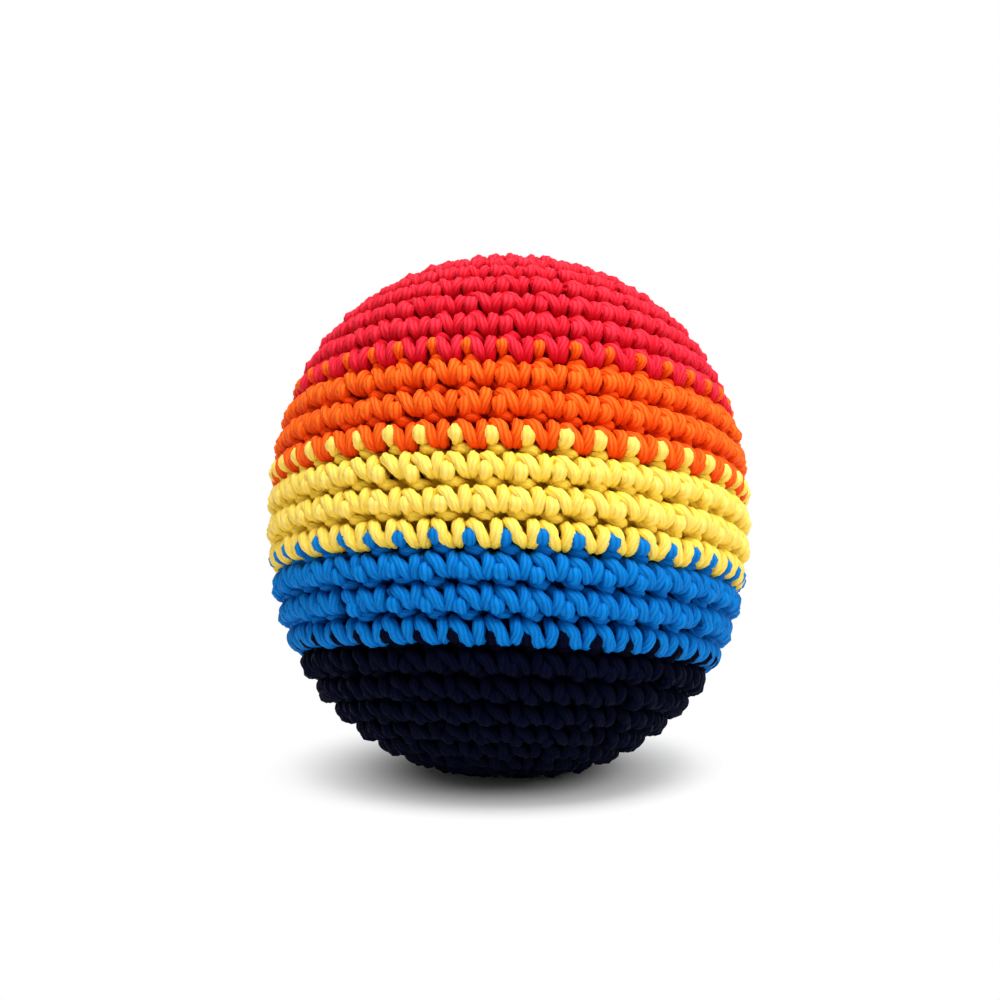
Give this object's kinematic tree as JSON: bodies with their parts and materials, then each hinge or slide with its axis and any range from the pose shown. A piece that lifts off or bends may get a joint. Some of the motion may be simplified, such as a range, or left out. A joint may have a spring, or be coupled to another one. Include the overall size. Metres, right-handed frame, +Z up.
{
  "type": "crocheted footbag",
  "caption": "Soft round footbag: a crocheted cover in five bands of colour round a fill of loose plastic pellets, standing on a small flat where the cover gives.",
  "frame": {"origin": "on the surface the footbag stands on, straight under the middle of the ball", "axes": "+Z up, -Y towards the side the picture shows; the ball's poles lean 12.7 degrees back towards +Y and 0.8 degrees towards +X"},
  "size_m": [0.05, 0.0508, 0.0537],
  "materials": {
    "yarn_navy": "mercerised yarn in single crochet, soft satin sheen",
    "yarn_blue": "mercerised yarn in single crochet, soft satin sheen",
    "yarn_yellow": "mercerised yarn in single crochet, soft satin sheen",
    "yarn_orange": "mercerised yarn in single crochet, soft satin sheen",
    "yarn_red": "mercerised yarn in single crochet, soft satin sheen",
    "pellets": "moulded granules, dull"
  },
  "bodies": {
    "root": {"cover_navy": "yarn_navy", "cover_blue": "yarn_blue", "cover_yellow": "yarn_yellow", "cover_orange": "yarn_orange", "cover_red": "yarn_red", "join_navy_blue": "yarn_blue", "join_blue_yellow": "yarn_yellow", "join_yellow_orange": "yarn_orange", "join_orange_red": "yarn_red", "pellet_fill": "pellets", "pellet_01": "pellets", "pellet_02": "pellets", "pellet_03": "pellets", "pellet_04": "pellets", "pellet_05": "pellets", "pellet_06": "pellets", "pellet_07": "pellets", "pellet_08": "pellets", "pellet_09": "pellets", "pellet_10": "pellets", "pellet_11": "pellets", "pellet_12": "pellets", "pellet_13": "pellets", "pellet_14": "pellets", "pellet_15": "pellets", "pellet_16": "pellets", "pellet_17": "pellets", "pellet_18": "pellets", "pellet_19": "pellets", "pellet_20": "pellets", "pellet_21": "pellets", "pellet_22": "pellets", "pellet_23": "pellets", "pellet_24": "pellets", "pellet_25": "pellets", "pellet_26": "pellets", "pellet_27": "pellets", "pellet_28": "pellets", "pellet_29": "pellets", "pellet_30": "pellets", "pellet_31": "pellets", "pellet_32": "pellets", "pellet_33": "pellets", "pellet_34": "pellets", "pellet_35": "pellets", "pellet_36": "pellets", "pellet_37": "pellets", "pellet_38": "pellets", "pellet_39": "pellets", "pellet_40": "pellets", "pellet_41": "pellets", "pellet_42": "pellets", "pellet_43": "pellets", "pellet_44": "pellets"}
  },
  "joints": []
}
